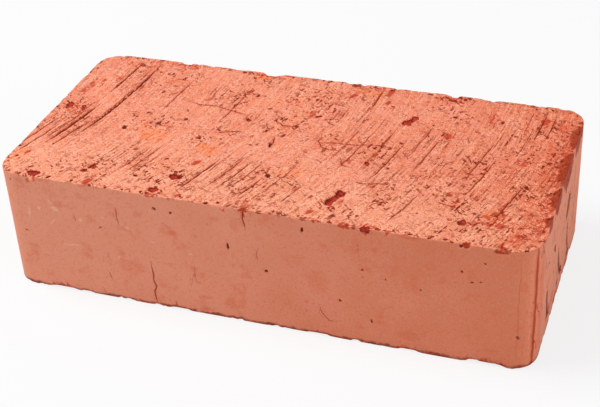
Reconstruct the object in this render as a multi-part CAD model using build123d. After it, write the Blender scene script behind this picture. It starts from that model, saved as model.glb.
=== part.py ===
from build123d import *
import math
import os

# Solid clay brick, pressed as a column and cut off by wire.
#
# The press pushes the clay through a die whose mouth is the brick's plan with
# rounded corners, and a frame of taut wires slices the column into bricks. So
# the four upright arrises are round, the sides and ends are smooth, and the two
# beds are flat with crisp edges. The wire swings in an arc and drags coarse
# grains with it, which leaves curved furrows across the beds. Burnt-out grains
# leave pits with broken rims, handling leaves flat-floored chips on the
# arrises, and drying opens a few cracks.
#
# Millimetres. X runs along the brick, Y across it from the front stretcher to
# the back one, Z up. The origin is the middle of the lower bed.

# The fired brick.
LENGTH = 250.0
WIDTH = 120.0
HEIGHT = 62.0
CORNER_RADIUS = 12.0

# Wear on the edges of the two beds.
UPPER_ARRIS_RADIUS = 0.8
LOWER_ARRIS_RADIUS = 1.4

# The wire's path. Each furrow is a stretch of an arc that runs square to the
# back stretcher and bends towards the left end as it nears the front.
DRAG_RADIUS = 312.0

# How far a cutting shape stands clear of the face that it cuts.
CLEAR = 0.5

# A drying crack is a thin wedge, widest at the edge or pit that it starts from.
CRACK_WIDTH = 0.7
CRACK_DEPTH = 1.6

# A pit or chip is a hollow with a broken rim of seven corners, each at its own
# share of the full reach, and sides that slope in to a smaller floor.
RIM_SHARES = (1.0, 0.84, 0.96, 0.8, 1.0, 0.88, 0.92)
PIT_FLOOR = 0.45
CHIP_FLOOR = 0.7

# Places on a face are measured from its near edges, so a mark keeps its place
# when the brick's size changes. A place of 0 or more is measured from the left
# end, the front stretcher or the lower bed, and a negative one from the right
# end, the back stretcher or the upper bed.

# Furrows: where the arc would meet the back stretcher, the stretch of it that
# is cut, as two distances in front of the back stretcher, the width, the depth.
UPPER_FURROWS = (
    (22.6, 6.0, 38.0, 1.1, 0.9),
    (33.2, 6.0, 77.0, 1.4, 1.0),
    (24.4, 50.0, 90.0, 1.5, 1.0),
    (21.6, 54.0, 88.0, 0.8, 0.5),
    (32.0, 30.0, 64.0, 0.8, 0.5),
    (29.4, 68.0, 94.0, 0.8, 0.6),
    (14.0, 72.0, 106.0, 0.8, 0.6),
    (18.5, 74.0, 102.0, 0.8, 0.6),
    (56.5, 18.0, 48.0, 0.8, 0.6),
    (73.0, 82.0, 104.0, 0.8, 0.5),
    (77.0, 78.0, 104.0, 1.0, 0.7),
    (88.5, 20.0, 54.0, 0.9, 0.6),
    (108.3, 84.0, 112.0, 1.2, 0.8),
    (118.0, 80.0, 106.0, 1.2, 0.8),
    (128.0, 80.0, 102.0, 0.8, 0.5),
    (135.5, 94.0, 110.0, 0.9, 0.6),
    (143.0, 78.0, 108.0, 0.8, 0.5),
    (151.5, 4.0, 22.0, 1.0, 0.7),
    (161.0, 44.0, 80.0, 0.9, 0.6),
    (-80.0, 36.0, 76.0, 0.8, 0.5),
    (-71.5, 48.0, 84.0, 0.9, 0.6),
    (-58.0, 42.0, 72.0, 0.9, 0.6),
    (-46.0, 88.0, 112.0, 1.0, 0.7),
    (-34.0, 40.0, 74.0, 0.8, 0.6),
    (-28.0, 54.0, 84.0, 0.8, 0.6),
    (-17.8, 6.0, 34.0, 1.1, 0.8),
    (-13.0, 8.0, 30.0, 0.8, 0.5),
    (-8.5, 70.0, 98.0, 1.1, 0.8),
)
LOWER_FURROWS = (
    (27.0, 20.0, 84.0, 1.2, 0.8),
    (58.0, 52.0, 96.0, 0.9, 0.6),
    (102.0, 8.0, 44.0, 1.1, 0.7),
    (139.0, 66.0, 104.0, 0.9, 0.6),
    (-68.0, 30.0, 82.0, 1.2, 0.8),
    (-24.0, 60.0, 100.0, 1.0, 0.7),
)

# Pits in the upper bed: place along and across, length along the wire's path,
# width, depth.
UPPER_PITS = (
    (83.3, 17.6, 7.0, 6.4, 1.8),
    (77.6, 5.4, 5.2, 4.6, 1.6),
    (43.0, 16.0, 4.8, 4.2, 1.4),
    (40.8, 11.8, 3.6, 4.0, 1.2),
    (-91.6, 23.4, 6.2, 4.4, 2.0),
    (-94.2, 16.0, 7.0, 4.0, 1.8),
    (-77.6, -27.4, 6.6, 4.4, 1.1),
    (-36.0, 15.6, 4.8, 4.2, 1.4),
    (6.0, -55.0, 6.0, 5.0, 0.9),
    (115.0, 54.4, 5.6, 2.2, 1.4),
    (80.2, 51.8, 3.6, 3.6, 1.3),
    (42.0, 52.0, 4.8, 3.0, 1.3),
    (-58.6, -20.4, 3.4, 2.8, 1.2),
    (-36.4, -19.6, 4.6, 2.6, 1.2),
    (-15.4, 48.6, 4.4, 3.4, 1.2),
    (123.4, 28.8, 4.6, 2.8, 1.2),
    (53.6, -61.5, 5.0, 2.8, 1.4),
)

# Pits in the front stretcher: place along, height, width, length upwards, depth.
FRONT_PITS = (
    (79.5, -7.3, 2.6, 1.8, 1.3),
    (87.7, -8.1, 1.6, 1.4, 1.0),
    (-101.5, -6.3, 1.4, 3.2, 1.4),
    (113.5, 40.9, 1.3, 4.2, 1.4),
    (-119.0, 30.8, 1.7, 1.8, 1.1),
    (-85.6, 21.5, 1.5, 1.4, 1.0),
    (-71.5, 12.9, 1.2, 2.6, 0.8),
    (-75.0, 40.1, 1.3, 1.4, 0.9),
)

# Pits in the right end: place across, height, width, length upwards, depth.
RIGHT_PITS = (
    (42.2, 36.8, 2.4, 3.8, 1.3),
    (75.6, 35.6, 2.6, 5.4, 1.4),
    (64.2, 9.2, 2.2, 2.4, 1.0),
    (84.6, 5.0, 2.4, 3.4, 1.0),
    (29.4, 10.4, 1.5, 3.0, 1.0),
)

# Chips out of the upper bed's edge over a stretcher: place along, length, how
# far each reaches into the bed, and how far down the side.
FRONT_CHIPS = (
    (19.0, 8.0, 3.4, 2.6),
    (121.8, 4.6, 2.2, 4.2),
    (-74.6, 6.6, 2.4, 2.4),
    (-16.2, 6.0, 2.6, 2.2),
    (-30.4, 3.4, 1.6, 1.6),
)
BACK_CHIPS = (
    (46.0, 9.0, 2.6, 2.2),
    (92.4, 12.0, 4.2, 3.0),
    (-63.5, 6.4, 3.6, 2.2),
    (-46.0, 14.0, 1.8, 1.8),
)

# Chips out of the lower bed's edge over the front stretcher, same order.
LOWER_CHIPS = (
    (27.0, 22.0, 1.8, 2.6),
    (87.0, 16.0, 1.6, 1.8),
    (154.0, 16.0, 1.6, 1.8),
    (-55.0, 14.0, 1.7, 1.8),
    (-21.0, 26.0, 2.2, 3.4),
)

# Cracks: how far each bends to the side of its start, and its height there.
LOWER_CRACK_START = 75.6
LOWER_CRACK = ((0.0, 0.0), (-0.9, 4.6), (0.3, 9.4), (-0.9, 14.6), (-0.6, 23.4))
UPPER_CRACK_START = 122.2
UPPER_CRACK = ((0.0, 0.0), (-0.8, 4.4), (0.5, 7.2), (0.1, 11.0))

FRONT = -WIDTH / 2
BACK = WIDTH / 2
LEFT = -LENGTH / 2
RIGHT = LENGTH / 2


def place(distance, low, high):
    """Turns a distance from the nearer edge into a coordinate."""
    return low + distance if distance >= 0 else high + distance


def along(distance):
    return place(distance, LEFT, RIGHT)


def across(distance):
    return place(distance, FRONT, BACK)


def upwards(distance):
    return place(distance, 0.0, HEIGHT)


def drag_angle(in_front_of_back):
    """The angle round the wire's arc, in degrees, at a distance from the back."""
    return math.degrees(math.asin(in_front_of_back / DRAG_RADIUS))


def column():
    """The length of extruded clay between two wires, with worn bed edges."""
    mouth = RectangleRounded(LENGTH, WIDTH, CORNER_RADIUS)
    clay = extrude(mouth, HEIGHT)
    edges = clay.edges().group_by(Axis.Z)
    clay = fillet(edges[-1], UPPER_ARRIS_RADIUS)
    return fillet(clay.edges().group_by(Axis.Z)[0], LOWER_ARRIS_RADIUS)


def furrow(bed_z, inwards, meets_back, starts, ends, width, depth):
    """A V-shaped furrow along one stretch of the wire's arc.

    inwards is -1 for the upper bed, with the clay below it, and 1 for the lower.
    """
    half = width / 2 * (1 + CLEAR / depth)
    section = Plane.XZ * make_face(
        Polyline(
            (DRAG_RADIUS - half, -inwards * CLEAR),
            (DRAG_RADIUS + half, -inwards * CLEAR),
            (DRAG_RADIUS, inwards * depth),
            close=True,
        )
    )
    sweep_angle = drag_angle(ends) - drag_angle(starts)
    ring = revolve(section, Axis.Z, revolution_arc=sweep_angle)
    turned = Rot(0, 0, -drag_angle(ends)) * ring
    return Pos(along(meets_back) - DRAG_RADIUS, BACK, bed_z) * turned


def broken_outline(width, length):
    """A seven-cornered outline of this full size, with an uneven reach."""
    corners = []
    for number, share in enumerate(RIM_SHARES):
        turn = 2 * math.pi * number / len(RIM_SHARES)
        corners.append((share * width / 2 * math.cos(turn), share * length / 2 * math.sin(turn)))
    return make_face(Polyline(*corners, close=True))


def hollow(seat, width, length, depth, floor_share):
    """A hollow sunk into the seat's plane, whose sides slope in to its floor."""
    flare = 1 + (1 - floor_share) * CLEAR / depth
    rim = Pos(0, 0, CLEAR) * broken_outline(width * flare, length * flare)
    floor = Pos(0, 0, -depth) * broken_outline(width * floor_share, length * floor_share)
    return seat * loft([floor, rim], ruled=True)


def upper_pit(x, y, length, width, depth):
    """A pit in the upper bed, drawn out along the wire's path."""
    at_y = across(y)
    turn = math.radians(drag_angle(BACK - at_y))
    seat = Plane(
        origin=(along(x), at_y, HEIGHT),
        x_dir=(math.cos(turn), -math.sin(turn), 0),
        z_dir=(0, 0, 1),
    )
    return hollow(seat, width, length, depth, PIT_FLOOR)


def front_pit(x, z, width, length, depth):
    seat = Plane(origin=(along(x), FRONT, upwards(z)), x_dir=(1, 0, 0), z_dir=(0, -1, 0))
    return hollow(seat, width, length, depth, PIT_FLOOR)


def right_pit(y, z, width, length, depth):
    seat = Plane(origin=(RIGHT, across(y), upwards(z)), x_dir=(0, 1, 0), z_dir=(1, 0, 0))
    return hollow(seat, width, length, depth, PIT_FLOOR)


def chip(face_y, bed_z, x, length, into_bed, down_side):
    """A flat-floored chip across the edge between a stretcher and a bed.

    The floor runs from into_bed, measured on the bed, to down_side, measured on
    the stretcher, so it lies below the edge by the height of that triangle.
    """
    reach = math.hypot(into_bed, down_side)
    depth = into_bed * down_side / reach
    outwards = math.copysign(down_side, face_y)
    upright = into_bed if bed_z > 0 else -into_bed
    seat = Plane(origin=(along(x), face_y, bed_z), x_dir=(1, 0, 0), z_dir=(0, outwards, upright))
    return hollow(seat, length / CHIP_FLOOR, reach / CHIP_FLOOR, depth, CHIP_FLOOR)


def crack(start_x, start_z, upward, route):
    """A drying crack up or down the front stretcher, closing towards its tip."""
    tip = route[-1][1]
    left, right = [], []
    for aside, reach in route[:-1]:
        half = CRACK_WIDTH / 2 * (1 - reach / tip)
        left.append((aside - half, reach * upward))
        right.append((aside + half, reach * upward))
    end = (route[-1][0], tip * upward)
    foot = [(side[0][0], -CLEAR * upward) for side in (right, left)]
    outline = Polyline(*left, end, *reversed(right), *foot, close=True)
    wedge = extrude(Plane.XZ * make_face(outline), CRACK_DEPTH, both=True)
    return Pos(start_x, FRONT, start_z) * wedge


def brick():
    """The column with everything that cutting, firing and handling took out."""
    cuts = [furrow(HEIGHT, -1, *row) for row in UPPER_FURROWS]
    cuts += [furrow(0.0, 1, *row) for row in LOWER_FURROWS]
    cuts += [upper_pit(*row) for row in UPPER_PITS]
    cuts += [front_pit(*row) for row in FRONT_PITS]
    cuts += [right_pit(*row) for row in RIGHT_PITS]
    cuts += [chip(FRONT, HEIGHT, *row) for row in FRONT_CHIPS]
    cuts += [chip(BACK, HEIGHT, *row) for row in BACK_CHIPS]
    cuts += [chip(FRONT, 0.0, *row) for row in LOWER_CHIPS]
    cuts.append(crack(along(LOWER_CRACK_START), 0.0, 1, LOWER_CRACK))
    cuts.append(crack(along(UPPER_CRACK_START), HEIGHT, -1, UPPER_CRACK))
    solid = column()
    for cut in cuts:
        solid = solid - cut
    return solid


os.makedirs("parts", exist_ok=True)
export_step(brick(), "parts/brick.step")
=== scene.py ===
"""Dresses a solid clay brick: its wire-scored beds, worn arrises and fired skin.

The brick was pressed as a column through a die and sliced off by wires, so its
sides are smooth, its upright corners are round, and its two beds are torn and
scored along the path that the wire took. Lengths on the brick are in
millimetres, as a brickmaker measures them, and MM turns them into the scene's
metres. X runs along the brick, Y across it from the front stretcher to the back
one, and Z up. The origin is the middle of the lower bed.
"""

import functools
import itertools
import logging
import math
from dataclasses import dataclass, field
from enum import Enum

import bmesh
import bpy
import numpy as np
from mathutils import Matrix, Vector

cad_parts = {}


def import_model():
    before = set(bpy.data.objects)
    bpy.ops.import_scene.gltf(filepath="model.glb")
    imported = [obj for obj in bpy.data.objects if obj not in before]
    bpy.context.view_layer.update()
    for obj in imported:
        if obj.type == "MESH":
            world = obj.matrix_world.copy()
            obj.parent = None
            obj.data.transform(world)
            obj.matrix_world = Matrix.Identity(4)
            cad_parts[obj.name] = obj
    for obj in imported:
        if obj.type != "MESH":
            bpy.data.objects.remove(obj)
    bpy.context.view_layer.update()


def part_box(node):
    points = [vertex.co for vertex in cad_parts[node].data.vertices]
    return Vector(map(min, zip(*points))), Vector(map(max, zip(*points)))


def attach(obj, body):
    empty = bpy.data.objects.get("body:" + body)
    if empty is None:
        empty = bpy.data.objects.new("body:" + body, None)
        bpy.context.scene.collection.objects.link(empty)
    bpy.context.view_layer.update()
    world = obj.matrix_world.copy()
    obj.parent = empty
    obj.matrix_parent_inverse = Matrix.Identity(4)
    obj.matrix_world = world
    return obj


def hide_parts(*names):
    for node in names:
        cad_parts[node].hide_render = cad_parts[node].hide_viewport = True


log = logging.getLogger("clay_brick")

MM = 0.001

# How far the outlines of marks wander, how far off a thin line is still noted, and the offset,
# in half widths of a line, that stands for none near.
WAVER = 0.55
LINE_REACH = 1.2
FAR_ASIDE = 8.0

# How far apart noises are read that must not repeat each other.
LAYER_SHIFT = 37.1
WAY_SHIFT = 91.0
BED_SHIFT = 210.0

# The depth of a flat dark mark that paints the shade in a slit or hole, hardly more than colour.
PAINTED_SHADE_DEPTH = 0.02

# How deep the edge between a bed and a side belongs to both, and where the mesh is shaded sharp.
EDGE_BAND = 1.2
SHARP_ANGLE = 38

Span = tuple[float, float]
Colour = tuple[float, float, float, float]
Rows = tuple[tuple[float, ...], ...]
Inputs = dict[str | int, object]
Socket = bpy.types.NodeSocket

WHITE: Colour = (1.0, 1.0, 1.0, 1.0)
CARD: Colour = (0.75, 0.75, 0.75, 1.0)


def colour(red: int, green: int, blue: int) -> Colour:
    """Turns a colour as a screen shows it into the renderer's linear one.

    Args:
        red: Red, 0 to 255.
        green: Green, 0 to 255.
        blue: Blue, 0 to 255.

    Returns:
        Linear red, green, blue and an alpha of 1.
    """
    shares = [part / 255 for part in (red, green, blue)]
    linear = [s / 12.92 if s <= 0.04045 else ((s + 0.055) / 1.055) ** 2.4 for s in shares]
    return (*linear, 1.0)


def ramp(values: np.ndarray, low: float, high: float) -> np.ndarray:
    """Rises smoothly from 0 at low to 1 at high.

    Args:
        values: The numbers to grade.
        low: Where the rise starts.
        high: Where it ends, which may be below low for a fall.

    Returns:
        A grade from 0 to 1 for each number.
    """
    share = np.clip((values - low) / (high - low), 0.0, 1.0)
    return share * share * (3 - 2 * share)


class Side(Enum):
    """The three skins of the brick, each flat once it is unrolled."""

    UPPER = "upper bed"
    LOWER = "lower bed"
    WALL = "sides and ends"


class Tone(Enum):
    """What a mark does to the colour of the clay."""

    LINE = "line"
    SHADE = "shade"
    BURNT = "burnt"
    OCHRE = "ochre"
    PALE = "pale"
    TORN = "torn"
    SCUFF = "scuff"
    RUST = "rust"
    BARE = "bare"


class ClayNoise:
    """Smooth random numbers over space, the same on every run."""

    def __init__(self, seed: int) -> None:
        """Shuffles the lattice for one seed."""
        self.table = np.random.default_rng(seed).permutation(256)

    def at(self, places: np.ndarray, size: float) -> np.ndarray:
        """Reads the noise.

        Args:
            places: One row for each point, with two or three coordinates.
            size: The distance over which the noise changes.

        Returns:
            One number from -1 to 1 for each point.
        """
        scaled = places / size
        corner = np.floor(scaled).astype(int)
        share = scaled - corner
        share = share * share * (3 - 2 * share)
        total = np.zeros(len(places))
        for step in itertools.product((0, 1), repeat=places.shape[1]):
            weight = np.where(step, share, 1 - share).prod(axis=1)
            spot = np.zeros(len(places), dtype=int)
            for axis, shift in enumerate(step):
                spot = self.table[(spot + corner[:, axis] + shift) & 255]
            total += weight * spot
        return total / 127.5 - 1

    def layered(self, places: np.ndarray, size: float, layers: int) -> np.ndarray:
        """Adds finer noise to coarse noise.

        Args:
            places: One row for each point.
            size: The distance over which the coarsest layer changes.
            layers: How many layers, each half the size of the one before.

        Returns:
            One number from about -1 to 1 for each point.
        """
        total = np.zeros(len(places))
        for layer in range(layers):
            total += self.at(places + LAYER_SHIFT * layer, size / 2**layer) / 2**layer
        return total / (2 - 2 ** (1 - layers))


@dataclass(frozen=True)
class WirePath:
    """The arc that the cutting wire swings through, square to the back edge."""

    radius: float = 312.0
    back: float = 60.0

    def lean(self, across: np.ndarray | float) -> np.ndarray | float:
        """How far the arc has bent towards the left end at a place across the bed."""
        return (self.back - across) ** 2 / (2 * self.radius)

    def along(self, start_x: float, start_y: float, length: float, step: float = 1.5) -> np.ndarray:
        """Follows the arc towards the front edge.

        Args:
            start_x: Where the stretch starts along the brick.
            start_y: Where it starts across the brick.
            length: How far towards the front it goes.
            step: The distance between two points of the route.

        Returns:
            The points of the stretch, one row each.
        """
        count = max(2, int(length / step) + 1)
        across = np.linspace(start_y, start_y - length, count)
        return np.column_stack([start_x + self.lean(start_y) - self.lean(across), across])


@dataclass(frozen=True)
class Pit:
    """A hollow that a burnt-out grain or a lost pebble left."""

    side: Side
    middle: Span
    long: float
    wide: float
    deep: float
    turn: float = 0.0
    tone: Tone = Tone.SHADE
    tint: float = 0.8

    def spread(self) -> tuple[Span, Span]:
        """The lowest and highest coordinate that it touches, each way."""
        reach = self.long * 0.5 + self.wide * 0.5 + 1.5
        return tuple((part - reach, part + reach) for part in self.middle)

    def strength(self, places: np.ndarray) -> np.ndarray:
        """How much of its depth it has at each place.

        Args:
            places: Points of the unrolled skin, one row each.

        Returns:
            From 0 outside to 1 at the bottom.
        """
        offset = places - np.array(self.middle)
        lean = math.radians(self.turn)
        along = offset @ np.array([math.sin(lean), math.cos(lean)])
        aside = offset @ np.array([math.cos(lean), -math.sin(lean)])
        distance = np.hypot(along / (self.long / 2), aside / (self.wide / 2))
        round_by = np.arctan2(aside, along) + self.middle[0]
        broken = 1 + 0.07 * np.sin(3 * round_by) + 0.09 * np.sin(5 * round_by + self.middle[1])
        return ramp(distance * broken, 1.1, 0.55)


@dataclass(frozen=True)
class Score:
    """A furrow, scratch or crack along a route, which fades at its ends."""

    side: Side
    route: tuple[Span, ...]
    wide: float
    deep: float
    tone: Tone = Tone.LINE
    tint: float = 0.8

    def spread(self) -> tuple[Span, Span]:
        """The lowest and highest coordinate that it touches, each way."""
        reach = self.wide + 1.5
        return tuple((min(part) - reach, max(part) + reach) for part in zip(*self.route))

    def offset(self, places: np.ndarray) -> tuple[np.ndarray, np.ndarray]:
        """How far each place lies to the side of the route.

        Args:
            places: Points of the unrolled skin, one row each.

        Returns:
            The distance, negative to the right of the route, and the share of
            the mark's full size that is left so near to its ends.
        """
        route = np.array(self.route)
        legs = np.diff(route, axis=0)
        lengths = np.linalg.norm(legs, axis=1)
        nearest = np.full(len(places), np.inf)
        signed = np.zeros(len(places))
        taper = np.zeros(len(places))
        gone = 0.0
        for start, leg, length in zip(route, legs, lengths):
            offset = places - start
            share = np.clip(offset @ leg / length**2, 0.0, 1.0)
            distance = np.linalg.norm(offset - share[:, None] * leg, axis=1)
            turn = np.where(leg[0] * offset[:, 1] - leg[1] * offset[:, 0] < 0, -1.0, 1.0)
            run = (gone + share * length) / lengths.sum()
            closer = distance < nearest
            nearest = np.where(closer, distance, nearest)
            signed = np.where(closer, turn * distance, signed)
            taper = np.where(closer, np.clip(5 * np.minimum(run, 1 - run), 0.3, 1.0), taper)
            gone += length
        return signed, taper

    def strength(self, places: np.ndarray) -> np.ndarray:
        """How much of its depth it has at each place.

        Args:
            places: Points of the unrolled skin, one row each.

        Returns:
            From 0 outside to 1 at the bottom.
        """
        signed, taper = self.offset(places)
        return taper * ramp(np.abs(signed), self.wide * 0.8, self.wide * 0.1)


Mark = Pit | Score


@dataclass(frozen=True)
class Block:
    """The measures of the sharp-edged block that two wires cut off the column."""

    length: float
    width: float
    height: float
    corner: float = 12.0

    @property
    def straight(self) -> tuple[float, float]:
        """Half of the flat length of a stretcher, and of an end."""
        return self.length / 2 - self.corner, self.width / 2 - self.corner

    @property
    def arc(self) -> float:
        """The length round one upright corner."""
        return self.corner * math.pi / 2

    @property
    def half_round(self) -> float:
        """Half of the way round the sides."""
        return 2 * (sum(self.straight) + self.arc)

    def right_end(self, across: float) -> float:
        """The run along the sides to a place across the right end."""
        return sum(self.straight) + self.arc + across

    def left_end(self, across: float) -> float:
        """The run along the sides to a place across the left end."""
        return -self.right_end(across)

    def back_stretcher(self, along: float) -> float:
        """The run along the sides to a place along the back stretcher."""
        return math.copysign(self.half_round - abs(along), along)

    def half_extent(self, side: Side) -> Span:
        """Half of what an unrolled skin measures each way."""
        if side is Side.WALL:
            return self.half_round, self.height / 2
        return self.length / 2, self.width / 2

    def chance_spot(self, side: Side, random: np.random.Generator) -> Span:
        """Picks a place on an unrolled skin by chance.

        Args:
            side: The skin.
            random: The source of chance.

        Returns:
            The place along and across the skin.
        """
        half = self.half_extent(side)
        along, across = random.uniform(-1, 1) * half[0], random.uniform(-1, 1) * half[1]
        return along, across + (half[1] if side is Side.WALL else 0.0)

    def plan(self, points: np.ndarray) -> tuple[np.ndarray, np.ndarray]:
        """Measures points inwards from the plan, a rounded rectangle.

        Args:
            points: The points, one row each.

        Returns:
            The distance inside the sides, and the direction outwards in plan.
        """
        sign = np.where(points[:, :2] < 0, -1.0, 1.0)
        past = np.abs(points[:, :2]) - self.straight
        beyond = np.maximum(past, 0.0)
        far = np.linalg.norm(beyond, axis=1)
        at_corner = (past > 0).all(axis=1)
        inset = self.corner - np.where(at_corner, far, past.max(axis=1))
        nearest = (past == past.max(axis=1, keepdims=True)).astype(float)
        radial = beyond / np.maximum(far, 1e-9)[:, None]
        return inset, sign * np.where(at_corner[:, None], radial, nearest)

    def run(self, points: np.ndarray) -> np.ndarray:
        """Measures points along the sides, from the middle of the front.

        Args:
            points: The points, one row each.

        Returns:
            The run to the right of that middle, or to the left as a minus.
        """
        flat_x, flat_y = self.straight
        x, y = np.abs(points[:, 0]), points[:, 1]
        turned = np.arctan2(np.maximum(x - flat_x, 0.0), np.maximum(np.abs(y) - flat_y, 1e-9))
        front = np.minimum(x, flat_x) + self.corner * turned
        back = self.half_round - front
        end = flat_x + self.arc + flat_y + y
        run = np.where(np.abs(y) <= flat_y, end, np.where(y < 0, front, back))
        return np.where(points[:, 0] < 0, -run, run)


@dataclass(frozen=True)
class Chip:
    """A flake lost from the edge between a bed and the sides."""

    bed: Side
    run: float
    long: float
    into_bed: float
    down_side: float


@dataclass
class Skin:
    """Surface points of the brick, sorted onto the skin that each belongs to."""

    points: np.ndarray
    block: Block

    def __post_init__(self) -> None:
        """Measures each point against the block's edges."""
        self.depth = np.zeros(len(self.points))
        self.tones = {tone: np.zeros(len(self.points)) for tone in Tone}
        self.aside = np.full(len(self.points), FAR_ASIDE)
        self.ink = np.zeros(len(self.points))
        self.inset, self.outward = self.block.plan(self.points)
        self.run = self.block.run(self.points)
        self.from_top = self.block.height - self.points[:, 2]
        self.from_floor = self.points[:, 2].copy()
        on_wall = self.inset <= np.minimum(self.from_top, self.from_floor)
        above = self.from_top <= self.from_floor
        self.masks = {Side.WALL: on_wall, Side.UPPER: ~on_wall & above, Side.LOWER: ~on_wall & ~above}

    def flat(self, side: Side) -> np.ndarray:
        """The unrolled coordinates of all the points, for one of the skins."""
        across = self.points[:, 2] if side is Side.WALL else self.points[:, 1]
        along = self.run if side is Side.WALL else self.points[:, 0]
        return np.column_stack([along, across])

    def press(self, marks: list[Mark], waver: float, noise: ClayNoise) -> None:
        """Presses marks into the skins, each with a wavering outline.

        Args:
            marks: The marks.
            waver: How far an outline wanders.
            noise: Where it wanders.
        """
        shift = [noise.layered(self.points + WAY_SHIFT * way, 3.2, 3) for way in (1, 2)]
        wander = waver * np.column_stack(shift)
        for side, mask in self.masks.items():
            chosen = np.flatnonzero(mask)
            flat = (self.flat(side) + wander)[chosen]
            order = np.argsort(flat[:, 0])
            chosen, flat = chosen[order], flat[order]
            for mark in (mark for mark in marks if mark.side is side):
                (low, high), (near, far) = mark.spread()
                first, last = np.searchsorted(flat[:, 0], (low, high))
                strip = flat[first:last]
                inside = (strip[:, 1] > near) & (strip[:, 1] < far)
                hit = chosen[first:last][inside]
                strength = mark.strength(strip[inside])
                self.depth[hit] = np.maximum(self.depth[hit], mark.deep * strength)
                if mark.tone is Tone.BARE:
                    continue
                if mark.tone is Tone.LINE:
                    self.rule(mark, hit, strip[inside])
                    continue
                tone = self.tones[mark.tone]
                tone[hit] = np.maximum(tone[hit], mark.tint * strength)

    def rule(self, mark: Score, hit: np.ndarray, places: np.ndarray) -> None:
        """Notes where the nearest thin line runs, so the finish can draw it sharp.

        Args:
            mark: The line.
            hit: Which of the skin's points lie near it.
            places: Those points, unrolled.
        """
        signed, taper = mark.offset(places)
        near = np.clip(1 - np.abs(signed) / LINE_REACH, 0.0, 1.0)
        closer = near > self.tones[Tone.LINE][hit]
        aside = np.clip(2 * signed / (mark.wide * taper), -FAR_ASIDE, FAR_ASIDE)
        self.aside[hit] = np.where(closer, aside, self.aside[hit])
        self.ink[hit] = np.where(closer, mark.tint, self.ink[hit])
        self.tones[Tone.LINE][hit] = np.where(closer, near, self.tones[Tone.LINE][hit])


def hollows(side: Side, rows: Rows, tone: Tone, tint: float) -> list[Mark]:
    """Makes a pit from each row: its middle, how long, wide and deep it is, and its turn if any."""
    return [Pit(side, (x, y), *size, tone=tone, tint=tint) for x, y, *size in rows]


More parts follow.
